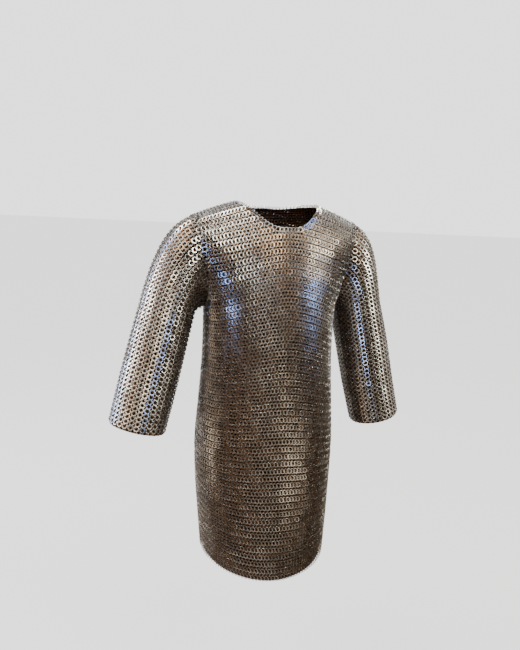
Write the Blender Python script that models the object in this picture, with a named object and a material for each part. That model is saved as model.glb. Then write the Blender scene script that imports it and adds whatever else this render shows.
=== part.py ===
"""Chainmail hauberk, worn: front, back and two sleeves as thin hollow walls.

Metres, +Z up. The front faces -Y and the wearer's left is +X. The origin lies in the middle of
the neck opening, at the height where the shoulders carry the shirt.

The body is a stack of level curves. A level runs across a panel from side to side, and every
level's height, half width, depths and droop are read from one table. The sleeves start on the
armhole edges that the panels leave, and are carried along the arm through oval sections.
"""

import math

import bpy
import numpy as np

# Driving sizes
WALL = 0.0040
SEAM_GAP = 0.0003
ARMHOLE_GAP = 0.0007
NECK_HALF_WIDTH = 0.095
FRONT_NECK_DROP = 0.115
BACK_NECK_DROP = 0.055
NECK_ROUNDNESS = 2.3
ARMPIT_LEVEL = 0.72
DROOP_POWER = 1.6

# Divisions of the walls
SHOULDER_COLUMNS = 8
NECK_COLUMNS = 14
LOWER_ROWS = 14
ARMHOLE_ROWS = 15
SLEEVE_CAP_RINGS = 8
SLEEVE_ARM_RINGS = 10

# Levels of the body from the hem up to the shoulder ridge. "edge" is how far the panel's side
# stands off the middle plane, which opens the armhole. "turn" is the part of a quarter oval, in
# degrees, that a level runs through on each side, and "square" is 2 for an ellipse.
BODY_COLUMNS = ("level", "height", "shift", "half_width", "front", "back", "edge", "droop", "turn", "square")
BODY_LEVELS = (
    (0.00, -0.880, 0.012, 0.151, 0.141, 0.125, 0.000, -0.021, 90, 2.20),
    (0.12, -0.780, 0.009, 0.157, 0.138, 0.126, 0.000, -0.006, 90, 2.20),
    (0.25, -0.665, 0.005, 0.163, 0.134, 0.124, 0.000, 0.010, 90, 2.20),
    (0.38, -0.545, 0.002, 0.165, 0.131, 0.118, 0.000, 0.024, 90, 2.20),
    (0.50, -0.430, 0.000, 0.157, 0.129, 0.112, 0.000, 0.037, 90, 2.25),
    (0.62, -0.310, -0.003, 0.149, 0.128, 0.114, 0.000, 0.046, 90, 2.30),
    (0.72, -0.200, -0.004, 0.150, 0.124, 0.116, 0.000, 0.051, 90, 2.30),
    (0.76, -0.163, -0.004, 0.154, 0.119, 0.115, 0.034, 0.052, 84, 2.25),
    (0.80, -0.128, -0.004, 0.159, 0.112, 0.113, 0.050, 0.052, 76, 2.20),
    (0.88, -0.070, -0.003, 0.170, 0.095, 0.102, 0.058, 0.052, 66, 2.10),
    (0.94, -0.028, -0.002, 0.181, 0.070, 0.080, 0.047, 0.052, 62, 2.00),
    (0.98, -0.007, -0.001, 0.188, 0.040, 0.047, 0.028, 0.051, 60, 2.00),
    (1.00, 0.000, 0.000, 0.191, 0.000, 0.000, 0.000, 0.051, 60, 2.00),
)

# Oval sections of a sleeve from just under the armpit to the cuff. "out" is measured from the
# middle plane of the body, "across" and "deep" are half widths of the oval.
SLEEVE_COLUMNS = ("along", "out", "fore", "height", "across", "deep")
RIGHT_SLEEVE = (
    (0.00, 0.242, 0.000, -0.253, 0.060, 0.066),
    (0.33, 0.262, -0.004, -0.336, 0.062, 0.064),
    (0.67, 0.284, -0.012, -0.426, 0.063, 0.062),
    (1.00, 0.308, -0.022, -0.522, 0.062, 0.062),
)
LEFT_SLEEVE = (
    (0.00, 0.224, 0.000, -0.256, 0.059, 0.066),
    (0.33, 0.248, -0.004, -0.346, 0.062, 0.064),
    (0.67, 0.269, -0.012, -0.438, 0.062, 0.062),
    (1.00, 0.292, -0.022, -0.532, 0.060, 0.062),
)
CAP_FULLNESS = 0.90

STEEL_COLOUR = (0.42, 0.40, 0.37, 1.0)


def clear_scene():
    for item in list(bpy.data.objects):
        bpy.data.objects.remove(item, do_unlink=True)


def read_table(table, columns, name, at):
    """A named column as a smooth curve: cubic pieces whose slopes are the weighted mean of the
    straight slopes on both sides."""
    data = np.array(table, float)
    x = data[:, 0]
    y = data[:, columns.index(name)]
    step = np.diff(x)
    rise = np.diff(y) / step
    slope = np.concatenate(([rise[0]], (rise[:-1] * step[1:] + rise[1:] * step[:-1]) / (step[1:] + step[:-1]),
                            [rise[-1]]))
    at = np.clip(at, x[0], x[-1])
    k = np.clip(np.searchsorted(x, at, side="right") - 1, 0, len(step) - 1)
    s = (at - x[k]) / step[k]
    start = (1 + 2 * s) * (1 - s) ** 2 * y[k] + s * (1 - s) ** 2 * step[k] * slope[k]
    end = s * s * (3 - 2 * s) * y[k + 1] - s * s * (1 - s) * step[k] * slope[k + 1]
    return start + end


def body_column(name, level):
    return read_table(BODY_LEVELS, BODY_COLUMNS, name, level)


def body_surface(across, level, facing):
    """The middle of the wall. across runs from -1 at the wearer's right to 1 at the left, and
    facing is -1 for the front panel and 1 for the back one. Sideways a level follows the sine
    of its turn and in depth the cosine, both raised to the same power."""
    power = 2.0 / body_column("square", level)
    full = np.radians(np.minimum(body_column("turn", level), 90.0))
    turn = np.abs(across) * full
    share = np.sign(across) * (np.sin(turn) / np.sin(full)) ** power
    rest = np.maximum(np.cos(full), 0.0) ** power
    bulge = (np.maximum(np.cos(turn), 0.0) ** power - rest) / (1 - rest)
    depth = body_column("front" if facing < 0 else "back", level)
    edge = np.where(level <= ARMPIT_LEVEL, 0.0, body_column("edge", level))
    x = body_column("shift", level) + body_column("half_width", level) * share
    y = facing * (edge + (depth - edge) * bulge + SEAM_GAP / 2)
    z = body_column("height", level) - body_column("droop", level) * np.abs(share) ** DROOP_POWER
    return np.stack((x, y, z), axis=-1)


def neck_share():
    """The across value whose point on the ridge is the corner of the neck opening."""
    full = math.radians(float(body_column("turn", 1.0)))
    share = NECK_HALF_WIDTH / float(body_column("half_width", 1.0))
    return math.asin(share * math.sin(full)) / full


def top_level(across, drop):
    """The level at which a column ends: the ridge, or a round scoop between the neck corners.
    Depth grows with the root of the drop near the ridge, so this near parabola looks round."""
    inside = np.clip(np.abs(across) / neck_share(), 0.0, 1.0)
    return 1.0 - drop * (1.0 - inside ** NECK_ROUNDNESS)


def unit(vectors):
    return vectors / np.maximum(np.linalg.norm(vectors, axis=-1, keepdims=True), 1e-12)


def grid_normals(points, wraps):
    """Normals of a grid, from the cross product of the differences along both directions."""
    if wraps:
        ring = np.concatenate((points[:, -1:], points, points[:, :1]), axis=1)
        along_ring = (ring[:, 2:] - ring[:, :-2]) / 2
    else:
        along_ring = np.gradient(points, axis=1)
    return unit(np.cross(along_ring, np.gradient(points, axis=0)))


def panel_columns():
    neck = neck_share()
    side = np.linspace(neck, 1.0, SHOULDER_COLUMNS + 1)[1:]
    middle = np.linspace(-neck, neck, NECK_COLUMNS + 1)
    return np.concatenate((-side[::-1], middle, side))


def panel_grid(facing):
    """Rows from hem to ridge, columns from the wearer's right to left, with the wall's normals.
    The rows close up towards the ridge, where the panel turns over the shoulder."""
    columns = panel_columns()
    lower = np.linspace(0.0, ARMPIT_LEVEL, LOWER_ROWS + 1)
    rise = np.sin(np.linspace(0.0, math.pi / 2, ARMHOLE_ROWS + 1)[1:])
    upper = ARMPIT_LEVEL + (1 - ARMPIT_LEVEL) * rise
    rows = np.concatenate((lower, upper))
    drop = FRONT_NECK_DROP if facing < 0 else BACK_NECK_DROP
    top = top_level(columns, drop)
    level = np.where(rows[:, None] <= ARMPIT_LEVEL, rows[:, None],
                     ARMPIT_LEVEL + (rows[:, None] - ARMPIT_LEVEL) * (top - ARMPIT_LEVEL) / (1 - ARMPIT_LEVEL))
    across = np.broadcast_to(columns, level.shape)
    points = body_surface(across, level, facing)
    normals = grid_normals(points, False)
    if facing > 0:
        normals = -normals
    seam_rows = LOWER_ROWS + 1
    normals[:seam_rows, (0, -1), 1] = 0.0
    ridge = top > 0.9999
    normals[-1, ridge, 1] = 0.0
    return points, unit(normals)


def oval_ring(table, side, along, angles):
    """Points of one oval section of the sleeve, square to the arm's own direction."""
    def centre(at):
        out = read_table(table, SLEEVE_COLUMNS, "out", at)
        fore = read_table(table, SLEEVE_COLUMNS, "fore", at)
        height = read_table(table, SLEEVE_COLUMNS, "height", at)
        return np.array((side * out, fore, height))

    nudge = 0.01
    arm = unit(centre(min(along + nudge, 1.0)) - centre(max(along - nudge, table[0][0])))
    outward = unit(np.cross(np.cross(arm, (side, 0.0, 0.0)), arm))
    forward = unit(np.cross(np.cross(arm, (0.0, -1.0, 0.0)), arm))
    across = read_table(table, SLEEVE_COLUMNS, "across", along)
    deep = read_table(table, SLEEVE_COLUMNS, "deep", along)
    ring = centre(along) + across * np.outer(np.cos(angles), outward) + deep * np.outer(np.sin(angles), forward)
    return ring, arm


def armhole_edge(panel, column):
    """The panel's edge from the shoulder tip down to the armpit, with the wall's normals."""
    rows = slice(LOWER_ROWS, None)
    return panel[0][rows, column][::-1], panel[1][rows, column][::-1]


def sleeve_grid(table, side, front, back):
    """Rings from the armhole to the cuff. The cap joins each armhole point to the first oval
    with one cubic piece. It leaves the panel along its own surface at the shoulder tip, and
    folds more and more square to it down to the armpit, where it lies on the panel's edge."""
    column = -1 if side > 0 else 0
    front_edge, front_normal = armhole_edge(front, column)
    back_edge, back_normal = armhole_edge(back, column)
    edge = np.concatenate((front_edge, back_edge[-2:0:-1]))
    edge_normal = np.concatenate((front_normal, back_normal[-2:0:-1]))
    armpit = len(front_edge) - 1
    edge[(0, armpit), 1] = 0.0
    path = np.concatenate(([0.0], np.cumsum(np.linalg.norm(np.diff(front_edge, axis=0), axis=1))))
    half = path / path[-1] * math.pi
    angles = np.concatenate((half, 2 * math.pi - half[-2:0:-1]))
    along_edge = np.roll(edge, -1, axis=0) - np.roll(edge, 1, axis=0)
    off_panel = unit(np.cross(along_edge, edge_normal)) * -side
    down = np.abs(np.where(angles > math.pi, 2 * math.pi - angles, angles)) / math.pi
    fold = (np.sin(down * math.pi / 2) * math.pi / 2)[:, None]
    leave = off_panel * np.cos(fold) + edge_normal * np.sin(fold)
    first_normal = edge_normal * np.cos(fold) - off_panel * np.sin(fold)
    start = edge + off_panel * (ARMHOLE_GAP + WALL / 2 * np.sin(fold))
    first_ring, arm = oval_ring(table, side, table[0][0], angles)
    strength = CAP_FULLNESS * np.linalg.norm(first_ring - start, axis=1)[:, None]
    reach = np.linspace(0.0, 1.0, SLEEVE_CAP_RINGS + 1)[:, None, None]
    cap = ((1 + 2 * reach) * (1 - reach) ** 2 * start + reach * (1 - reach) ** 2 * strength * leave
           + reach ** 2 * (3 - 2 * reach) * first_ring - reach ** 2 * (1 - reach) * strength * arm)
    rest = [oval_ring(table, side, along, angles)[0]
            for along in np.linspace(table[0][0], 1.0, SLEEVE_ARM_RINGS + 1)[1:]]
    points = np.concatenate((cap, np.array(rest)))
    normals = grid_normals(points, True) * side
    normals[0] = first_normal
    return points, normals


def wall_mesh(name, points, normals, wraps, flip):
    """A closed wall: the grid moved out and in by half the thickness, with its rims. Each rim
    face is split from its higher outer point, so that two rims that face each other match."""
    rows, columns = points.shape[:2]
    outer = points + normals * WALL / 2
    inner = points - normals * WALL / 2
    vertices = np.concatenate((outer.reshape(-1, 3), inner.reshape(-1, 3)))
    index = np.arange(rows * columns).reshape(rows, columns)
    if wraps:
        index = np.concatenate((index, index[:, :1]), axis=1)
    quads = np.stack((index[:-1, :-1], index[:-1, 1:], index[1:, 1:], index[1:, :-1]), axis=-1).reshape(-1, 4)
    if wraps:
        rims = [index[0][::-1], index[-1]]
    else:
        rims = [np.concatenate((index[0, ::-1], index[1:, 0], index[-1, 1:], index[-2::-1, -1]))]
    offset = rows * columns
    faces = quads.tolist() + (quads[:, ::-1] + offset).tolist()
    for rim in rims:
        a, b = rim[:-1], rim[1:]
        from_a = np.stack((a, b, b + offset, a, b + offset, a + offset), axis=-1)
        from_b = np.stack((a, b, a + offset, b, b + offset, a + offset), axis=-1)
        higher = vertices[a, 2] > vertices[b, 2]
        faces += np.where(higher[:, None], from_a, from_b).reshape(-1, 3).tolist()
    if flip:
        faces = [face[::-1] for face in faces]
    mesh = bpy.data.meshes.new(name)
    mesh.from_pydata(vertices.tolist(), [], faces)
    mesh.validate()
    mesh.shade_smooth()
    mesh.set_sharp_from_angle(angle=math.radians(50))
    return mesh


def steel(name):
    material = bpy.data.materials.new(name)
    material.use_nodes = True
    shader = material.node_tree.nodes["Principled BSDF"]
    shader.inputs["Base Color"].default_value = STEEL_COLOUR
    shader.inputs["Metallic"].default_value = 1.0
    shader.inputs["Roughness"].default_value = 0.38
    return material


def add_piece(name, mesh):
    mesh.materials.append(steel(name + "_steel"))
    piece = bpy.data.objects.new(name, mesh)
    bpy.context.collection.objects.link(piece)
    return piece


def main():
    clear_scene()
    front = panel_grid(-1)
    back = panel_grid(1)
    add_piece("front", wall_mesh("front", front[0], front[1], False, False))
    add_piece("back", wall_mesh("back", back[0], back[1], False, True))
    for name, table, side in (("sleeve_right", RIGHT_SLEEVE, -1), ("sleeve_left", LEFT_SLEEVE, 1)):
        points, normals = sleeve_grid(table, side, front, back)
        add_piece(name, wall_mesh(name, points, normals, True, side < 0))


main()
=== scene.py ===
"""Chainmail hauberk: every ring of the mail, linked four in one, laid on the shirt's worn shape.

Metres, +Z up, the front faces -Y and the wearer's left is +X. The body's rows of rings run
across, the sleeves' rows run along the arm, and rings of neighbouring rows lean opposite ways.
"""

import math

import bpy
import numpy as np
from mathutils import Matrix, Vector


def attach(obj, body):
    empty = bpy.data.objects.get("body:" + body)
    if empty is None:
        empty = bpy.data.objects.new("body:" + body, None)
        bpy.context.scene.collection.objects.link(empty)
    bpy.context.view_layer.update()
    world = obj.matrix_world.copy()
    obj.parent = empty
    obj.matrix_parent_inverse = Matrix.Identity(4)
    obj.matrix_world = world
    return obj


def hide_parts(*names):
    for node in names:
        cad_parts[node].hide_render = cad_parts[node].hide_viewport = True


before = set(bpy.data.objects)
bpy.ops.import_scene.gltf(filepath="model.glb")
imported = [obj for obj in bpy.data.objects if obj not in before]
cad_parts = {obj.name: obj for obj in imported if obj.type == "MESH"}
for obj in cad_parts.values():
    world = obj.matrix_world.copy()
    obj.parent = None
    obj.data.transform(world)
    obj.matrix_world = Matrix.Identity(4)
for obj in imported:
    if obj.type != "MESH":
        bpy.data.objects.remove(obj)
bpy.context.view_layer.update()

# Ring sizes: flattened steel wire, in metres. The radius runs to the middle of the wire, and the
# leans are those of the ring's flat from the cloth. The wire is thicker by the swell where its
# ends meet. The last three numbers are how much single rings differ from the mean.
RING_RADIUS = 0.0056
WIRE_WIDTH = 0.0014
WIRE_THICKNESS = 0.0011
BODY_LEAN = math.radians(37)
SLEEVE_LEAN = math.radians(20)
RING_SIDES = 9
LAP_SWELL = 0.15
SWING_SPREAD = 0.03
LEAN_SPREAD = 0.06
PLACE_SPREAD = 0.00012

# The sheet of painted shade: a dark sheet inside the rings that stands for the shade deep in the
# mail. How far its outer and inner sides lie inside the middle of the mail, how far it stays back
# from the neckline as a share of the height, the spacings of the rings drawn on it, its grid, and
# the share of the height above which its rows close up
SHADE_SHEET_OUTER = 0.0027
SHADE_SHEET_INNER = 0.0031
NECK_MARGIN = 0.003
SHADE_SHEET_SPACING = 0.0079
SHADE_SHEET_ROW = 0.0079
SHADE_SHEET_COLUMNS = 73
SHADE_SHEET_ROWS = 81
SHADE_SHEET_CROWD = 0.6

# The wire's section, as distances along the spoke and along the axle
WIRE_SECTION = (
    (0.5 * WIRE_WIDTH, 0.4 * WIRE_THICKNESS),
    (-0.5 * WIRE_WIDTH, 0.4 * WIRE_THICKNESS),
    (0.0, -0.6 * WIRE_THICKNESS),
)

# Rows and rings of the body and the sleeves. The first row stands FIRST_ROW of a spacing above
# the hem. The sleeve's rows start CUFF_START of one from the cuff and end ARMHOLE_REST of one
# before the armhole. Rows of the body are spaced along the column CLIMB_ACROSS, beside the neck.
BODY_ROWS = 111
SKIRT_ROWS = 56
FRONT_RINGS = 58
BACK_RINGS = 56
SLEEVE_ROWS = 60
SLEEVE_SPACING = 0.0104
FIRST_ROW = 0.72
CUFF_START = 0.55
ARMHOLE_REST = 0.25
CLIMB_ACROSS = 0.62

# The row along the neckline: its spacing, its distance from the edge, and the least distance of
# the other rings' centres from the edge
NECK_SPACING = 0.0082
NECK_INSET = 0.0040
NECK_CLEARANCE = 0.0085

# The row on the armhole seam: its spacing and how far it stands out of the cloth
SEAM_SPACING = 0.0085
SEAM_RISE = 0.0008

# How far a row leaves its level, as shares of the height: the skirt's tilt and the chest's lift
ROW_TILT = 0.014
ROW_LIFT = 0.023

# Fineness of the curves on which rings are placed, and half the length over which a row's
# direction is read
ROW_SAMPLES = 321
LEVEL_SAMPLES = 1501
EDGE_SAMPLES = 201
ARMHOLE_SAMPLES = 241
HALF_STEP = 0.002
SEED = 7

# The worn shape, as in the part's solids
NECK_HALF_WIDTH = 0.095
FRONT_NECK_DROP = 0.115
BACK_NECK_DROP = 0.055
NECK_ROUNDNESS = 2.3
ARMPIT_LEVEL = 0.72
DROOP_POWER = 1.6
BODY_COLUMNS = ("level", "height", "shift", "half_width", "front", "back", "edge", "droop", "turn", "square")
BODY_LEVELS = (
    (0.00, -0.880, 0.012, 0.151, 0.141, 0.125, 0.000, -0.021, 90, 2.20),
    (0.12, -0.780, 0.009, 0.157, 0.138, 0.126, 0.000, -0.006, 90, 2.20),
    (0.25, -0.665, 0.005, 0.163, 0.134, 0.124, 0.000, 0.010, 90, 2.20),
    (0.38, -0.545, 0.002, 0.165, 0.131, 0.118, 0.000, 0.024, 90, 2.20),
    (0.50, -0.430, 0.000, 0.157, 0.129, 0.112, 0.000, 0.037, 90, 2.25),
    (0.62, -0.310, -0.003, 0.149, 0.128, 0.114, 0.000, 0.046, 90, 2.30),
    (0.72, -0.200, -0.004, 0.150, 0.124, 0.116, 0.000, 0.051, 90, 2.30),
    (0.76, -0.163, -0.004, 0.154, 0.119, 0.115, 0.034, 0.052, 84, 2.25),
    (0.80, -0.128, -0.004, 0.159, 0.112, 0.113, 0.050, 0.052, 76, 2.20),
    (0.88, -0.070, -0.003, 0.170, 0.095, 0.102, 0.058, 0.052, 66, 2.10),
    (0.94, -0.028, -0.002, 0.181, 0.070, 0.080, 0.047, 0.052, 62, 2.00),
    (0.98, -0.007, -0.001, 0.188, 0.040, 0.047, 0.028, 0.051, 60, 2.00),
    (1.00, 0.000, 0.000, 0.191, 0.000, 0.000, 0.000, 0.051, 60, 2.00),
)
SLEEVE_COLUMNS = ("along", "out", "fore", "height", "across", "deep")
RIGHT_SLEEVE = (
    (0.00, 0.242, 0.000, -0.253, 0.060, 0.066),
    (0.33, 0.262, -0.004, -0.336, 0.062, 0.064),
    (0.67, 0.284, -0.012, -0.426, 0.063, 0.062),
    (1.00, 0.308, -0.022, -0.522, 0.062, 0.062),
)
LEFT_SLEEVE = (
    (0.00, 0.224, 0.000, -0.256, 0.059, 0.066),
    (0.33, 0.248, -0.004, -0.346, 0.062, 0.064),
    (0.67, 0.269, -0.012, -0.438, 0.062, 0.062),
    (1.00, 0.292, -0.022, -0.532, 0.060, 0.062),
)
CAP_FULLNESS = 0.90
CAP_STEPS = 40
ARM_STEPS = 60

# Camera, as fitted to the photograph's outline. The azimuth runs from the front towards the
# wearer's right, and the height is that of the lens above the shoulder ridge.
CAMERA_DISTANCE = 1.35
CAMERA_AZIMUTH = math.radians(20.522)
CAMERA_HEIGHT = -0.023
CAMERA_PITCH = math.radians(11.547)
CAMERA_YAW = math.radians(-0.903)
CAMERA_ROLL = math.radians(3.299)
CAMERA_FOCAL_PIXELS = 583.132
IMAGE_WIDTH = 520
SENSOR_MM = 36.0

# Floor, backdrop and room. The room is what the rings mirror: three ramps of colours, from
# front to back, from below to above and from the wearer's right to left, multiplied.
FLOOR_HEIGHT = -1.15
FLOOR_HALF_WIDTH = 30.0
FLOOR_GLOW = 1.5
BACKDROP_GLOW = 2.2
ROOM_GLOW = 2.0
ROOM_DEPTH = ((-1.0, "#38302A"), (-0.7, "#585048"), (-0.3, "#E6E2DC"), (0.1, "#F4F2F0"),
              (0.75, "#F4F4F4"), (1.0, "#8A8A8A"))
ROOM_HEIGHT = ((-1.0, "#8A8078"), (-0.45, "#A89E94"), (-0.1, "#C8C2BC"), (0.2, "#F0F0F0"), (1.0, "#FFFFFF"))
ROOM_SIDE = ((-1.0, "#F0F6FF"), (0.0, "#FFFFFF"), (0.6, "#DCD0BE"), (1.0, "#CCC8C4"))

# Lights: name, place, what it aims at, width and height, radiance and colour. Right and left in
# their names are the viewer's.
CHEST = (0.0, -0.1, -0.15)
LIGHTS = (
    ("key", (-0.55, -1.55, 1.1), CHEST, (0.8, 0.7), 9.0, "#FFEFD6"),
    ("high_right", (1.7, -1.35, 1.4), CHEST, (1.2, 1.3), 15.0, "#F8FAEC"),
    ("warm_left", (-1.75, -0.77, 0.25), CHEST, (0.5, 1.0), 6.0, "#FFC684"),
    ("cool_near", (-0.1, -0.62, -0.06), (-0.13, -0.1, -0.15), (0.16, 0.14), 12.0, "#90B8FF"),
    ("cool_back", (-1.9, 1.2, 0.2), (-0.3, 0.0, -0.3), (1.2, 1.6), 6.5, "#98BEFF"),
    ("high_left", (-1.7, 0.7, 0.8), (-0.2, 0.0, -0.1), (1.4, 1.0), 14.0, "#FFF4E0"),
    ("low_left", (-0.5, -0.8, -0.85), (-0.1, -0.1, -0.7), (0.5, 0.4), 1.8, "#FFEBD2"),
)


def linear(code):
    """An sRGB hex colour as linear red, green, blue and alpha."""
    value = np.array([int(code[i:i + 2], 16) for i in (1, 3, 5)]) / 255
    value = np.where(value <= 0.04045, value / 12.92, ((value + 0.055) / 1.055) ** 2.4)
    return (*value.tolist(), 1.0)


def read_table(table, columns, name, at):
    """A named column as a smooth curve: cubic pieces whose slopes are the weighted mean of the
    straight slopes on both sides."""
    data = np.array(table, float)
    x = data[:, 0]
    y = data[:, columns.index(name)]
    step = np.diff(x)
    rise = np.diff(y) / step
    slope = np.concatenate(([rise[0]], (rise[:-1] * step[1:] + rise[1:] * step[:-1]) / (step[1:] + step[:-1]),
                            [rise[-1]]))
    at = np.clip(at, x[0], x[-1])
    k = np.clip(np.searchsorted(x, at, side="right") - 1, 0, len(step) - 1)
    s = (at - x[k]) / step[k]
    start = (1 + 2 * s) * (1 - s) ** 2 * y[k] + s * (1 - s) ** 2 * step[k] * slope[k]
    end = s * s * (3 - 2 * s) * y[k + 1] - s * s * (1 - s) * step[k] * slope[k + 1]
    return start + end


def body_column(name, level):
    """A named measure of the body at a level."""
    return read_table(BODY_LEVELS, BODY_COLUMNS, name, level)


def body_surface(across, level, facing):
    """The middle of the cloth. across runs from -1 at the wearer's right to 1 at the left, and
    facing is -1 for the front and 1 for the back. Sideways a level follows the sine of its turn
    and in depth the cosine, both raised to the same power."""
    power = 2.0 / body_column("square", level)
    full = np.radians(np.minimum(body_column("turn", level), 90.0))
    turn = np.abs(across) * full
    share = np.sign(across) * (np.sin(turn) / np.sin(full)) ** power
    rest = np.maximum(np.cos(full), 0.0) ** power
    bulge = (np.maximum(np.cos(turn), 0.0) ** power - rest) / (1 - rest)
    depth = body_column("front" if facing < 0 else "back", level)
    edge = np.where(level <= ARMPIT_LEVEL, 0.0, body_column("edge", level))
    x = body_column("shift", level) + body_column("half_width", level) * share
    y = facing * (edge + (depth - edge) * bulge)
    z = body_column("height", level) - body_column("droop", level) * np.abs(share) ** DROOP_POWER
    return np.stack((x, y, z), axis=-1)


def neck_share():
    """The across value whose point on the ridge is the corner of the neck opening."""
    full = math.radians(float(body_column("turn", 1.0)))
    share = NECK_HALF_WIDTH / float(body_column("half_width", 1.0))
    return math.asin(share * math.sin(full)) / full


def top_level(across, drop):
    """The level at which a column ends: the ridge, or a round scoop between the neck corners."""
    inside = np.clip(np.abs(across) / neck_share(), 0.0, 1.0)
    return 1.0 - drop * (1.0 - inside ** NECK_ROUNDNESS)


def unit(vectors):
    """The vectors, each divided by its length."""
    return vectors / np.maximum(np.linalg.norm(vectors, axis=-1, keepdims=True), 1e-12)


def grid_normals(points, wraps):
    """Normals of a grid, from the cross product of the differences along both directions."""
    if wraps:
        ring = np.concatenate((points[:, -1:], points, points[:, :1]), axis=1)
        along_ring = (ring[:, 2:] - ring[:, :-2]) / 2
    else:
        along_ring = np.gradient(points, axis=1)
    return unit(np.cross(along_ring, np.gradient(points, axis=0)))


def path_lengths(curves):
    """Length along each curve up to each of its points."""
    steps = np.linalg.norm(np.diff(curves, axis=1), axis=-1)
    return np.concatenate((np.zeros((len(curves), 1)), np.cumsum(steps, axis=1)), axis=1)


def read_curves(lengths, values, curve, at):
    """Values at the length `at` along the numbered curves. The curves are put end to end, ten
    metres apart, so that one interpolation reads them all."""
    apart = 10.0
    key = (lengths + apart * np.arange(len(lengths))[:, None]).ravel()
    want = np.clip(at, 0.0, lengths[curve, -1]) + apart * curve
    flat = values.reshape(key.size, -1)
    return np.stack([np.interp(want, key, flat[:, i]) for i in range(flat.shape[1])], axis=-1)


def body_row_levels():
    """Levels of the body's rows: evenly spaced along the mean of the lines that climb the two
    panels beside the neck, with the last row on the shoulder ridge."""
    level = np.linspace(0.0, 1.0, LEVEL_SAMPLES)
    climbs = np.stack([body_surface(np.full_like(level, across), level, facing)
                       for across in (-CLIMB_ACROSS, CLIMB_ACROSS) for facing in (-1, 1)])
    length = path_lengths(climbs).mean(axis=0)
    rows = (np.arange(BODY_ROWS + 1) + FIRST_ROW) / (BODY_ROWS + FIRST_ROW)
    return np.interp(rows * length[-1], length, level)


def row_shift(across, level):
    """How far a row leaves its own level. The skirt's rows fall a little towards the wearer's
    left, and the chest's rows rise towards both armholes."""
    skirt = np.interp(level, (0.0, 0.2, 0.5, ARMPIT_LEVEL), (0.0, 1.0, 1.0, 0.0))
    chest = np.interp(level, (ARMPIT_LEVEL, 0.85, 1.0), (0.0, 1.0, 0.0))
    return ROW_LIFT * chest * across ** 2 - ROW_TILT * skirt * across


def body_rings(facing, first, last):
    """Centres, row directions, normals and leans of one panel's rings between two rows. Below
    the armpit a row holds a fixed number of rings all the way round. Above it the spacing stays,
    and the armhole and the neck opening cut the row short."""
    levels = body_row_levels()
    across = np.linspace(-1.0, 1.0, ROW_SAMPLES)
    across_grid = np.broadcast_to(across, (len(levels), ROW_SAMPLES))
    level_grid = levels[:, None] + row_shift(across_grid, levels[:, None])
    points = body_surface(across_grid, level_grid, facing)
    normals = grid_normals(points, False) * -facing
    # Front and back meet on the ridge, so its normals have no part to the front or back.
    normals[-1, :, 1] = 0.0
    normals = unit(normals)
    lengths = path_lengths(points)
    count = FRONT_RINGS if facing < 0 else BACK_RINGS
    row, place = np.meshgrid(np.arange(first, last), np.arange(count + 1), indexing="ij")
    row = row.ravel()
    place = place.ravel() + 0.5 * (row % 2)
    if facing > 0:
        place = count - place
    total = lengths[:, -1]
    under = levels <= ARMPIT_LEVEL
    armpit_row = int(np.argmin(under)) - 1
    ridge_spacing = total[armpit_row] / count
    spacing = np.where(under, total / count, ridge_spacing)
    at = total[row] / 2 + (place - count / 2) * spacing[row]
    where = read_curves(lengths, across_grid[..., None], row, at)[:, 0]
    drop = FRONT_NECK_DROP if facing < 0 else BACK_NECK_DROP
    # The front has the ring on its first side seam, and the back the one on the other.
    first_place = -0.01 if facing < 0 else 0.01
    keep_low = (place > first_place) & (place < count + first_place)
    keep = np.where(under[row], keep_low, (at > 0.0) & (at < total[row]))
    keep &= levels[row] + row_shift(where, levels[row]) <= top_level(where, drop) + 1e-6
    row, at = row[keep], at[keep]
    centre = read_curves(lengths, points, row, at)
    edge = neck_edge(facing)[0]
    clear = np.linalg.norm(centre[:, None] - edge[None, ::2], axis=-1).min(axis=1) > NECK_CLEARANCE
    row, at, centre = row[clear], at[clear], centre[clear]
    normal = unit(read_curves(lengths, normals, row, at))
    ahead = read_curves(lengths, points, row, at + HALF_STEP)
    behind = read_curves(lengths, points, row, at - HALF_STEP)
    lean = np.where(row % 2 == 0, BODY_LEAN, -BODY_LEAN)
    return centre, unit(ahead - behind), normal, lean


def neck_edge(facing):
    """Points along the neckline from the wearer's right to left, with the cloth's normals."""
    across = neck_share() * np.linspace(-1.0, 1.0, EDGE_SAMPLES)
    drop = FRONT_NECK_DROP if facing < 0 else BACK_NECK_DROP
    level = top_level(across, drop) - np.array((0.0, 0.002, 0.004))[:, None]
    grid = body_surface(np.broadcast_to(across, level.shape), level, facing)
    normal = np.cross(np.gradient(grid[0], axis=0), grid[0] - grid[2]) * -facing
    return grid[0], unit(normal)


def neck_rings(facing):
    """One row of rings along the neckline, a ring's half width inside its edge. It closes the
    rows that the scoop has cut."""
    edge, normals = neck_edge(facing)
    lengths = path_lengths(edge[None])
    count = int(round(lengths[0, -1] / NECK_SPACING))
    at = (np.arange(count) + 0.5) / count * lengths[0, -1]
    curve = np.zeros(count, int)
    point = read_curves(lengths, edge[None], curve, at)
    normal = unit(read_curves(lengths, normals[None], curve, at))
    ahead = read_curves(lengths, edge[None], curve, at + HALF_STEP)
    behind = read_curves(lengths, edge[None], curve, at - HALF_STEP)
    row_way = unit(ahead - behind)
    inward = np.cross(normal, row_way) * facing
    return point + inward * NECK_INSET, row_way, normal, np.full(count, BODY_LEAN)


def armhole_edge(side, facing, steps):
    """A panel's edge from the shoulder tip down to the armpit, with the cloth's normals."""
    level = ARMPIT_LEVEL + (1 - ARMPIT_LEVEL) * np.cos(np.linspace(0.0, math.pi / 2, steps))
    # Six columns next to the edge, whose slopes give its normals
    across = side * np.linspace(0.9, 1.0, 6)
    shape = (steps, len(across))
    grid = body_surface(np.broadcast_to(across, shape), np.broadcast_to(level[:, None], shape), facing)
    normal = grid_normals(grid, False)[:, -1] * facing * side
    normal[(0, -1), 1] = 0.0
    return grid[:, -1], unit(normal)


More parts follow.
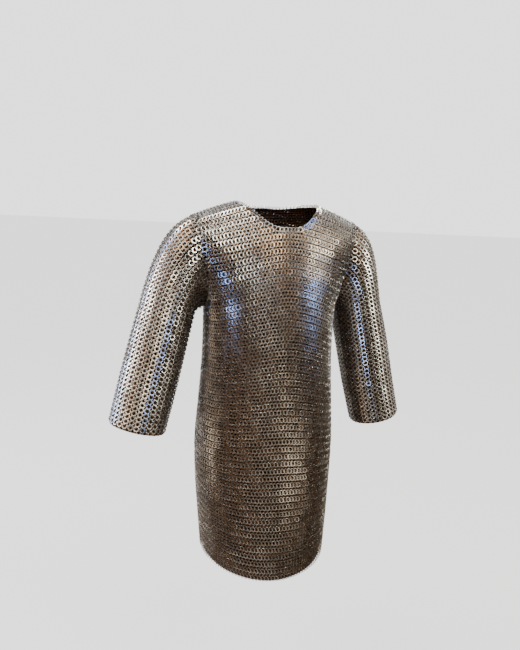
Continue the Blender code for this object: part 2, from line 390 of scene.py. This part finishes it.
def sleeve_centre(table, side, along):
    """The arm's centre line at shares of its length. The side is -1 for the wearer's right."""
    out = read_table(table, SLEEVE_COLUMNS, "out", along)
    fore = read_table(table, SLEEVE_COLUMNS, "fore", along)
    height = read_table(table, SLEEVE_COLUMNS, "height", along)
    return np.stack((side * out, fore, height), axis=-1)


def oval_rings(table, side, along, angles):
    """Oval sections of the sleeve, each square to the arm's own direction: the centre plus the
    half widths times the cosine and the sine of the angle."""
    nudge = 0.01
    centre = sleeve_centre(table, side, along)
    arm = unit(sleeve_centre(table, side, along + nudge) - sleeve_centre(table, side, along - nudge))
    outward = unit(np.cross(np.cross(arm, (side, 0.0, 0.0)), arm))
    forward = unit(np.cross(np.cross(arm, (0.0, -1.0, 0.0)), arm))
    across = read_table(table, SLEEVE_COLUMNS, "across", along)[:, None, None]
    deep = read_table(table, SLEEVE_COLUMNS, "deep", along)[:, None, None]
    cosine = np.cos(angles)[None, :, None]
    sine = np.sin(angles)[None, :, None]
    ring = centre[:, None] + across * cosine * outward[:, None] + deep * sine * forward[:, None]
    return ring, arm


def sleeve_surface(table, side):
    """Lines along the sleeve, one for each row of rings. Each starts on the armhole edge, joins
    the first oval with one cubic piece, and runs through the ovals to the cuff. Gives the grid
    of points, its normals, and the armhole edge with the cloth's normals there."""
    front_edge, front_normal = armhole_edge(side, -1, ARMHOLE_SAMPLES)
    back_edge, back_normal = armhole_edge(side, 1, ARMHOLE_SAMPLES)
    edge = np.concatenate((front_edge, back_edge[-2:0:-1]))
    edge_normal = np.concatenate((front_normal, back_normal[-2:0:-1]))
    edge[(0, ARMHOLE_SAMPLES - 1), 1] = 0.0
    path = path_lengths(front_edge[None])[0]
    half = path / path[-1] * math.pi
    fine_angles = np.concatenate((half, 2 * math.pi - half[-2:0:-1]))
    along_edge = np.roll(edge, -1, axis=0) - np.roll(edge, 1, axis=0)
    off_panel = unit(np.cross(along_edge, edge_normal)) * -side
    angles = np.arange(SLEEVE_ROWS) / SLEEVE_ROWS * 2 * math.pi
    stack = np.concatenate((edge, edge_normal, off_panel), axis=1)
    closed_angles = np.append(fine_angles, 2 * math.pi)
    stack = np.concatenate((stack, stack[:1]))
    picked = np.stack([np.interp(angles, closed_angles, stack[:, i]) for i in range(9)], axis=-1)
    start, start_normal, start_way = picked[:, :3], unit(picked[:, 3:6]), unit(picked[:, 6:])
    down = np.abs(np.where(angles > math.pi, 2 * math.pi - angles, angles)) / math.pi
    fold = (np.sin(down * math.pi / 2) * math.pi / 2)[:, None]
    leave = start_way * np.cos(fold) + start_normal * np.sin(fold)
    first_ring, arm = oval_rings(table, side, np.array([0.0]), angles)
    first_ring, arm = first_ring[0], arm[0]
    strength = CAP_FULLNESS * np.linalg.norm(first_ring - start, axis=1)[:, None]
    reach = np.linspace(0.0, 1.0, CAP_STEPS + 1)[:, None, None]
    cap = ((1 + 2 * reach) * (1 - reach) ** 2 * start + reach * (1 - reach) ** 2 * strength * leave
           + reach ** 2 * (3 - 2 * reach) * first_ring - reach ** 2 * (1 - reach) * strength * arm)
    rest = oval_rings(table, side, np.linspace(0.0, 1.0, ARM_STEPS + 1)[1:], angles)[0]
    points = np.concatenate((cap, rest))
    normals = grid_normals(points, True) * side
    return points, normals, edge, edge_normal


def sleeve_rings(table, side):
    """Rings of a sleeve. Rows climb from the cuff, every second one starting half a ring later,
    and the armhole cuts them short."""
    points, normals, _, _ = sleeve_surface(table, side)
    curves = np.swapaxes(points[::-1], 0, 1)
    curve_normals = np.swapaxes(normals[::-1], 0, 1)
    lengths = path_lengths(curves)
    most = int(lengths[:, -1].max() / SLEEVE_SPACING) + 1
    row, place = np.meshgrid(np.arange(SLEEVE_ROWS), np.arange(most), indexing="ij")
    row = row.ravel()
    at = (place.ravel() + CUFF_START + 0.5 * (row % 2)) * SLEEVE_SPACING
    keep = at < lengths[row, -1] - ARMHOLE_REST * SLEEVE_SPACING
    row, at = row[keep], at[keep]
    centre = read_curves(lengths, curves, row, at)
    normal = unit(read_curves(lengths, curve_normals, row, at))
    ahead = read_curves(lengths, curves, row, at + HALF_STEP)
    behind = read_curves(lengths, curves, row, at - HALF_STEP)
    lean = np.where(row % 2 == 0, SLEEVE_LEAN, -SLEEVE_LEAN)
    return centre, unit(ahead - behind), normal, lean


def armhole_rings(table, side):
    """One row of rings on the armhole seam. It joins the sleeve to both panels."""
    _, _, edge, edge_normal = sleeve_surface(table, side)
    closed = np.concatenate((edge, edge[:1]))[None]
    lengths = path_lengths(closed)
    count = int(round(lengths[0, -1] / SEAM_SPACING))
    at = np.arange(count) / count * lengths[0, -1]
    curve = np.zeros(count, int)
    point = read_curves(lengths, closed, curve, at)
    normal = unit(read_curves(lengths, np.concatenate((edge_normal, edge_normal[:1]))[None], curve, at))
    ahead = read_curves(lengths, closed, curve, (at + HALF_STEP) % lengths[0, -1])
    row_way = unit(ahead - point)
    return point + SEAM_RISE * normal, row_way, normal, np.full(count, BODY_LEAN)


def shade_sheet_panel(facing):
    """Points, normals and pattern lengths of a panel's sheet of painted shade inside its rings. Rows
    run from the hem to the ridge or the neck, closing up towards the ridge, and columns from side
    to side. The pattern lengths run along each row from the middle column, and up each column from
    the hem."""
    across = np.linspace(-1.0, 1.0, SHADE_SHEET_COLUMNS)
    rise = np.linspace(0.0, 1.0, SHADE_SHEET_ROWS)
    crowded = 1 - SHADE_SHEET_CROWD
    bent = SHADE_SHEET_CROWD + crowded * np.sin((rise - SHADE_SHEET_CROWD) / crowded * math.pi / 2)
    rise = np.where(rise < SHADE_SHEET_CROWD, rise, bent)
    drop = FRONT_NECK_DROP if facing < 0 else BACK_NECK_DROP
    top = top_level(across, drop)
    top = np.where(np.abs(across) < neck_share(), top - NECK_MARGIN, top)
    level = rise[:, None] * top
    points = body_surface(np.broadcast_to(across, level.shape), level, facing)
    normals = grid_normals(points, False) * -facing
    side = level[:, 0] <= ARMPIT_LEVEL
    normals[side, 0, 1] = 0.0
    normals[side, -1, 1] = 0.0
    normals[-1, np.abs(across) >= neck_share(), 1] = 0.0
    along = path_lengths(points)
    along = along - along[:, SHADE_SHEET_COLUMNS // 2, None]
    up = path_lengths(np.swapaxes(points, 0, 1)).T
    return points, unit(normals), np.stack((along / SHADE_SHEET_SPACING, up / SHADE_SHEET_ROW), axis=-1)


def shade_sheet_sleeve(table, side):
    """Points, normals and pattern lengths of a sleeve's sheet of painted shade, from armhole to cuff."""
    points, normals, _, _ = sleeve_surface(table, side)
    up = path_lengths(np.swapaxes(points[::-1], 0, 1)).T[::-1]
    turns = np.broadcast_to(np.arange(SLEEVE_ROWS, dtype=float), up.shape)
    return points, normals, np.stack((up / SLEEVE_SPACING, turns), axis=-1)


def shade_sheet_piece(name, points, normals, pattern, wraps, flip):
    """A closed thin wall: the grid moved in along its normals by the two depths, with rims. The
    pattern lengths become its UV map, which goes on past the last row where the grid wraps."""
    rows, columns = points.shape[:2]
    outer = points - normals * SHADE_SHEET_OUTER
    inner = points - normals * SHADE_SHEET_INNER
    vertices = np.concatenate((outer.reshape(-1, 3), inner.reshape(-1, 3)))
    index = np.arange(rows * columns).reshape(rows, columns)
    uv_index = index
    if wraps:
        index = np.concatenate((index, index[:, :1]), axis=1)
        extra = pattern[:, :1] + np.array((0.0, columns))
        pattern = np.concatenate((pattern, extra), axis=1)
        uv_index = np.arange(rows * (columns + 1)).reshape(rows, columns + 1)
    offset = rows * columns
    faces, marks = [], []
    for grid, store in ((index, faces), (uv_index, marks)):
        quads = np.stack((grid[:-1, :-1], grid[:-1, 1:], grid[1:, 1:], grid[1:, :-1]), axis=-1).reshape(-1, 4)
        add = offset if store is faces else 0
        store += [quads, quads[:, ::-1] + add]
        rims = [grid[0][::-1], grid[-1]] if wraps else [
            np.concatenate((grid[0, ::-1], grid[1:, 0], grid[-1, 1:], grid[-2::-1, -1]))]
        for rim in rims:
            a, b = rim[:-1], rim[1:]
            store.append(np.stack((a, b, b + add, a + add), axis=-1))
    faces, marks = np.concatenate(faces), np.concatenate(marks)
    if flip:
        faces, marks = faces[:, ::-1], marks[:, ::-1]
    mesh = bpy.data.meshes.new(name)
    mesh.from_pydata(vertices, [], faces, shade_flat=False)
    layer = mesh.uv_layers.new(name="rings_and_rows")
    layer.data.foreach_set("uv", pattern.reshape(-1, 2)[marks.ravel()].astype(np.float32).ravel())
    mesh.update()
    piece = bpy.data.objects.new(name, mesh)
    bpy.context.collection.objects.link(piece)
    return piece


def ring_vertices(rings, random):
    """Vertices of all rings: the centre, plus the ring radius along the turning spoke, plus the
    wire's section, which is wide along the spoke and thin along the axle, with its flat outwards.
    Each ring leans about the line square to its row, starts its turn at random, and swells a
    little where the wire ends meet."""
    centre, row_way, normal, lean = rings
    count = len(centre)
    square_way = np.cross(normal, row_way)
    swing = random.normal(0.0, SWING_SPREAD, (count, 1))
    angle = (lean * (1.0 + random.normal(0.0, LEAN_SPREAD, count)))[:, None]
    row_turned = row_way * np.cos(swing) + square_way * np.sin(swing)
    square_turned = square_way * np.cos(swing) - row_way * np.sin(swing)
    first = row_turned * np.cos(angle) + normal * np.sin(angle)
    axle = np.cross(first, square_turned)
    turn = random.uniform(0.0, 2 * math.pi, (count, 1)) + np.arange(RING_SIDES) / RING_SIDES * 2 * math.pi
    spoke = np.cos(turn)[..., None] * first[:, None] + np.sin(turn)[..., None] * square_turned[:, None]
    swell = np.ones((1, RING_SIDES, 1, 1))
    swell[0, 0] += LAP_SWELL
    section = np.array(WIRE_SECTION)
    offset = section[:, :1] * spoke[:, :, None] + section[:, 1:] * axle[:, None, None]
    middle = centre[:, None] + RING_RADIUS * spoke + random.normal(0.0, PLACE_SPREAD, (count, 1, 3))
    return middle[:, :, None] + offset * swell


def mail_piece(name, rings, random):
    """One mesh of many rings, with the ring's own tone from 0 to 1 stored on its points."""
    vertices = ring_vertices(rings, random)
    count = len(vertices)
    sides = len(WIRE_SECTION)
    around = np.arange(RING_SIDES)[:, None]
    section = np.arange(sides)[None, :]
    here = around * sides + section
    beside = around * sides + (section + 1) % sides
    ahead = (around + 1) % RING_SIDES * sides + section
    ahead_beside = (around + 1) % RING_SIDES * sides + (section + 1) % sides
    quads = np.stack((here, ahead, ahead_beside, beside), axis=-1).reshape(-1, 4)
    faces = (quads[None] + (np.arange(count) * RING_SIDES * sides)[:, None, None]).reshape(-1, 4)
    mesh = bpy.data.meshes.new(name)
    mesh.from_pydata(vertices.reshape(-1, 3), [], faces, shade_flat=True)
    tone = mesh.attributes.new("ring_tone", "FLOAT", "POINT")
    tone.data.foreach_set("value", np.repeat(random.uniform(0.0, 1.0, count), RING_SIDES * sides))
    mesh.update()
    piece = bpy.data.objects.new(name, mesh)
    bpy.context.collection.objects.link(piece)
    return piece


def add_node(tree, kind, settings=None, inputs=None):
    """Adds a node: settings are its own properties, and each input gets a value or a link."""
    node = tree.nodes.new(kind)
    for key, value in (settings or {}).items():
        setattr(node, key, value)
    for key, value in (inputs or {}).items():
        if isinstance(value, bpy.types.NodeSocket):
            tree.links.new(value, node.inputs[key])
        else:
            node.inputs[key].default_value = value
    return node


def steel_wire():
    """Mild steel wire, drawn and tumbled. It is bright grey and rather glossy, each ring a touch
    lighter or darker than the next, with brown tarnish in soft patches where oil has dried."""
    material = bpy.data.materials.new("tumbled_steel_wire")
    material.use_nodes = True
    tree = material.node_tree
    shader = tree.nodes["Principled BSDF"]
    place = add_node(tree, "ShaderNodeTexCoord").outputs["Object"]
    tone = add_node(tree, "ShaderNodeAttribute", {"attribute_name": "ring_tone"}).outputs["Fac"]
    # Tarnish patches are about 50 mm across, broken up by spots of about 6 mm.
    patches = add_node(tree, "ShaderNodeTexNoise", {}, {"Vector": place, "Scale": 1 / 0.05, "Detail": 2.0})
    spots = add_node(tree, "ShaderNodeTexNoise", {}, {"Vector": place, "Scale": 1 / 0.006, "Detail": 1.0})
    mixed = add_node(tree, "ShaderNodeMath", {"operation": "MULTIPLY_ADD"},
                     {0: spots.outputs["Fac"], 1: 0.5, 2: patches.outputs["Fac"]})
    tarnish = add_node(tree, "ShaderNodeMapRange", {},
                       {"Value": mixed.outputs[0], "From Min": 0.72, "From Max": 1.05,
                        "To Min": 0.0, "To Max": 0.6})
    clean = add_node(tree, "ShaderNodeMix", {"data_type": "RGBA"},
                     {0: tone, 6: linear("#A8A7A4"), 7: linear("#E2E1DE")})
    colour = add_node(tree, "ShaderNodeMix", {"data_type": "RGBA"},
                      {0: tarnish.outputs[0], 6: clean.outputs[2], 7: linear("#80705F")})
    tree.links.new(colour.outputs[2], shader.inputs["Base Color"])
    rough = add_node(tree, "ShaderNodeMapRange", {},
                     {"Value": tarnish.outputs[0], "From Min": 0.0, "From Max": 0.6,
                      "To Min": 0.27, "To Max": 0.40})
    tree.links.new(rough.outputs[0], shader.inputs["Roughness"])
    shader.inputs["Metallic"].default_value = 1.0
    # Draw marks on the wire are finer than 0.1 mm; they are drawn 1 mm apart so that they show.
    marks = add_node(tree, "ShaderNodeTexNoise", {}, {"Vector": place, "Scale": 1 / 0.001, "Detail": 1.0})
    bump = add_node(tree, "ShaderNodeBump", {},
                    {"Height": marks.outputs["Fac"], "Strength": 0.10, "Distance": 0.0002})
    tree.links.new(bump.outputs[0], shader.inputs["Normal"])
    return material


def shaded_wire():
    """Painted shade: a dark sheet inside the rings stands for the shade deep in the mail. It is
    painted nearly black, with the rings of both leans drawn on it as dim brown wire in shade. A
    point's distance from the nearest ring's middle, less the ring's radius, tells where wire is."""
    material = bpy.data.materials.new("shaded_steel_wire")
    material.use_nodes = True
    tree = material.node_tree
    shader = tree.nodes["Principled BSDF"]
    place = add_node(tree, "ShaderNodeUVMap", {"uv_map": "rings_and_rows"}).outputs["UV"]
    part = add_node(tree, "ShaderNodeSeparateXYZ", {}, {"Vector": place})

    def math_node(operation, *values):
        node = add_node(tree, "ShaderNodeMath", {"operation": operation}, dict(enumerate(values)))
        return node.outputs[0]

    wires = []
    for shift in (0.0, 0.5):
        ring = math_node("ADD", part.outputs["X"], shift + 0.5)
        ring = math_node("SUBTRACT", math_node("FRACT", ring), 0.5)
        half_row = math_node("MULTIPLY", part.outputs["Y"], 0.5)
        row = math_node("SUBTRACT", math_node("FRACT", math_node("ADD", half_row, shift + 0.5)), 0.5)
        across = math_node("MULTIPLY", ring, SHADE_SHEET_SPACING / RING_RADIUS)
        up = math_node("MULTIPLY", row, 2 * SHADE_SHEET_ROW / RING_RADIUS)
        distance = math_node("SQRT", math_node("ADD", math_node("MULTIPLY", across, across),
                                               math_node("MULTIPLY", up, up)))
        off_wire = math_node("ABSOLUTE", math_node("SUBTRACT", distance, 1.0))
        wires.append(add_node(tree, "ShaderNodeMapRange", {"interpolation_type": "SMOOTHSTEP"},
                              {"Value": off_wire, "From Min": 0.12, "From Max": 0.30,
                               "To Min": 1.0, "To Max": 0.0}).outputs[0])
    wire = math_node("MAXIMUM", wires[0], wires[1])
    # Painted shade: near black between the drawn rings, dim brown on the drawn wire
    colour = add_node(tree, "ShaderNodeMix", {"data_type": "RGBA"},
                      {0: wire, 6: linear("#130C08"), 7: linear("#785C46")})
    tree.links.new(colour.outputs[2], shader.inputs["Base Color"])
    bump = add_node(tree, "ShaderNodeBump", {}, {"Height": wire, "Strength": 0.8, "Distance": 0.001})
    tree.links.new(bump.outputs[0], shader.inputs["Normal"])
    shader.inputs["Metallic"].default_value = 1.0
    shader.inputs["Roughness"].default_value = 0.5
    return material


def dress(piece, node, material):
    """Gives a piece its material and its place on the body, and hides the solid it replaces."""
    piece.data.materials.append(material)
    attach(piece, "root")
    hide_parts(node)


def joined(first, second):
    """Two sets of rings as one."""
    return tuple(np.concatenate(pair) for pair in zip(first, second))


def build_mail():
    """All pieces of mail. Each panel is woven as a skirt and a chest, each sleeve as one tube,
    and every panel and sleeve has a dark sheet of painted shade inside its rings."""
    random = np.random.default_rng(SEED)
    material = steel_wire()
    shade = shaded_wire()
    for word, facing in (("front", -1), ("back", 1)):
        skirt_rings = body_rings(facing, 0, SKIRT_ROWS)
        last_row = BODY_ROWS + 1 if facing < 0 else BODY_ROWS
        chest_rings = joined(body_rings(facing, SKIRT_ROWS, last_row), neck_rings(facing))
        skirt = mail_piece("skirt_" + word, skirt_rings, random)
        dress(skirt, word, material)
        chest = mail_piece("chest_" + word, chest_rings, random)
        dress(chest, word, material)
        # A dark sheet of painted shade inside the panel's rings, with rings drawn on it
        shade_sheet = shade_sheet_piece("shade_sheet_" + word, *shade_sheet_panel(facing), False, facing > 0)
        dress(shade_sheet, word, shade)
    for word, table, side in (("right", RIGHT_SLEEVE, -1), ("left", LEFT_SLEEVE, 1)):
        rings = joined(sleeve_rings(table, side), armhole_rings(table, side))
        sleeve = mail_piece("mail_sleeve_" + word, rings, random)
        dress(sleeve, "sleeve_" + word, material)
        # A dark sheet of painted shade inside the sleeve's rings, with rings drawn on it
        shade_sheet = shade_sheet_piece("shade_sheet_sleeve_" + word, *shade_sheet_sleeve(table, side), True, side < 0)
        dress(shade_sheet, "sleeve_" + word, shade)


def build_camera():
    """A camera that looks along its azimuth, pitched down and rolled, from beside the shirt."""
    aim = CAMERA_AZIMUTH + CAMERA_YAW
    forward = Vector((math.sin(aim) * math.cos(CAMERA_PITCH), math.cos(aim) * math.cos(CAMERA_PITCH),
                      -math.sin(CAMERA_PITCH)))
    right = Vector((math.cos(aim), -math.sin(aim), 0.0))
    up = right.cross(forward)
    rolled_right = right * math.cos(CAMERA_ROLL) + up * math.sin(CAMERA_ROLL)
    rolled_up = up * math.cos(CAMERA_ROLL) - right * math.sin(CAMERA_ROLL)
    place = Vector((-CAMERA_DISTANCE * math.sin(CAMERA_AZIMUTH), -CAMERA_DISTANCE * math.cos(CAMERA_AZIMUTH),
                    CAMERA_HEIGHT))
    data = bpy.data.cameras.new("camera")
    data.sensor_fit = "HORIZONTAL"
    data.sensor_width = SENSOR_MM
    data.lens = SENSOR_MM * CAMERA_FOCAL_PIXELS / IMAGE_WIDTH
    data.clip_start = 0.05
    data.clip_end = 60.0
    camera = bpy.data.objects.new("camera", data)
    bpy.context.collection.objects.link(camera)
    turn = Matrix((rolled_right, rolled_up, -forward)).transposed()
    camera.matrix_world = Matrix.Translation(place) @ turn.to_4x4()
    bpy.context.scene.camera = camera


def area_light(name, place, aim, size, glow, colour):
    """A rectangular light: its size is width and height, and its glow is its radiance, which
    makes its power the radiance times pi times its area."""
    data = bpy.data.lights.new(name, "AREA")
    data.shape = "RECTANGLE"
    data.size, data.size_y = size
    data.energy = glow * math.pi * size[0] * size[1]
    data.color = linear(colour)[:3]
    light = bpy.data.objects.new(name, data)
    light.location = place
    light.rotation_euler = (Vector(aim) - Vector(place)).to_track_quat("-Z", "Y").to_euler()
    light.visible_camera = False
    bpy.context.collection.objects.link(light)


def build_stage():
    """A plain pale floor. It glows a little, so that it stays even up to the horizon."""
    mesh = bpy.data.meshes.new("floor")
    half = FLOOR_HALF_WIDTH
    corners = [(-half, -half, FLOOR_HEIGHT), (half, -half, FLOOR_HEIGHT),
               (half, half, FLOOR_HEIGHT), (-half, half, FLOOR_HEIGHT)]
    mesh.from_pydata(corners, [], [(0, 1, 2, 3)])
    floor = bpy.data.objects.new("floor", mesh)
    bpy.context.collection.objects.link(floor)
    material = bpy.data.materials.new("white_paper_floor")
    material.use_nodes = True
    shader = material.node_tree.nodes["Principled BSDF"]
    shader.inputs["Base Color"].default_value = linear("#8C8C8C")
    shader.inputs["Roughness"].default_value = 1.0
    shader.inputs["Specular IOR Level"].default_value = 0.0
    shader.inputs["Emission Color"].default_value = linear("#FFFFFF")
    shader.inputs["Emission Strength"].default_value = FLOOR_GLOW
    mesh.materials.append(material)
    floor.visible_glossy = False


def ramp_node(tree, value, stops):
    """Colours along a value from -1 to 1."""
    share = add_node(tree, "ShaderNodeMapRange", {}, {"Value": value, "From Min": -1.0, "From Max": 1.0})
    ramp = add_node(tree, "ShaderNodeValToRGB", {}, {"Fac": share.outputs[0]})
    elements = ramp.color_ramp.elements
    while len(elements) < len(stops):
        elements.new(0.5)
    for element, (at, colour) in zip(elements, stops):
        element.position = 0.5 + 0.5 * at
        element.color = linear(colour)
    return ramp.outputs["Color"]


def build_light():
    """The area lights and the room. The eye sees a pale backdrop, and the mail mirrors a dim
    brown room in front and pale paper beside and behind."""
    for light in LIGHTS:
        area_light(*light)
    world = bpy.data.worlds.new("studio")
    bpy.context.scene.world = world
    world.use_nodes = True
    tree = world.node_tree
    background = tree.nodes["Background"]
    way = add_node(tree, "ShaderNodeTexCoord").outputs["Generated"]
    parts = add_node(tree, "ShaderNodeSeparateXYZ", {}, {"Vector": way})
    room = add_node(tree, "ShaderNodeMix", {"data_type": "RGBA", "blend_type": "MULTIPLY"},
                    {0: 1.0, 6: ramp_node(tree, parts.outputs["Y"], ROOM_DEPTH),
                     7: ramp_node(tree, parts.outputs["Z"], ROOM_HEIGHT)})
    room = add_node(tree, "ShaderNodeMix", {"data_type": "RGBA", "blend_type": "MULTIPLY"},
                    {0: 1.0, 6: room.outputs[2], 7: ramp_node(tree, parts.outputs["X"], ROOM_SIDE)})
    seen = add_node(tree, "ShaderNodeLightPath").outputs["Is Camera Ray"]
    colour = add_node(tree, "ShaderNodeMix", {"data_type": "RGBA"},
                      {0: seen, 6: room.outputs[2], 7: linear("#FFFFFF")})
    level = add_node(tree, "ShaderNodeMapRange", {},
                     {"Value": seen, "To Min": ROOM_GLOW, "To Max": BACKDROP_GLOW})
    tree.links.new(colour.outputs[2], background.inputs["Color"])
    tree.links.new(level.outputs[0], background.inputs["Strength"])


build_camera()
build_stage()
build_light()
build_mail()
